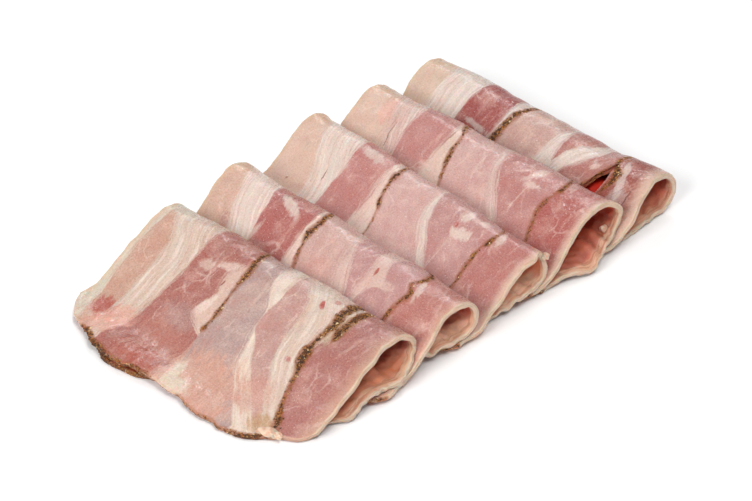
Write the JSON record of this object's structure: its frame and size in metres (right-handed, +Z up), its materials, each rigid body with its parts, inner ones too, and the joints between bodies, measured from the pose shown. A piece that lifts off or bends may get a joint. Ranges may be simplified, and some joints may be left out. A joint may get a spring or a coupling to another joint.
{
  "type": "shingled row of folded rolled pork belly slices",
  "caption": "Shingled row of thin spiced rolled pork belly slices, each folded in half into an open loop and resting on the one behind it, with pepper seams and a pale fat rim.",
  "frame": {"origin": "middle of the row's box, on the surface that the row lies on", "axes": "+X along the folded ridges towards the end where the loops stand open widest, +Y from the front slice to the back slice, +Z up"},
  "size_m": [0.1278, 0.2206, 0.0251],
  "materials": {
    "belly": "moist",
    "spice": "matte"
  },
  "bodies": {
    "root": {"slice_1": "belly", "slice_2": "belly", "slice_3": "belly", "slice_4": "belly", "slice_5": "belly"}
  },
  "joints": []
}
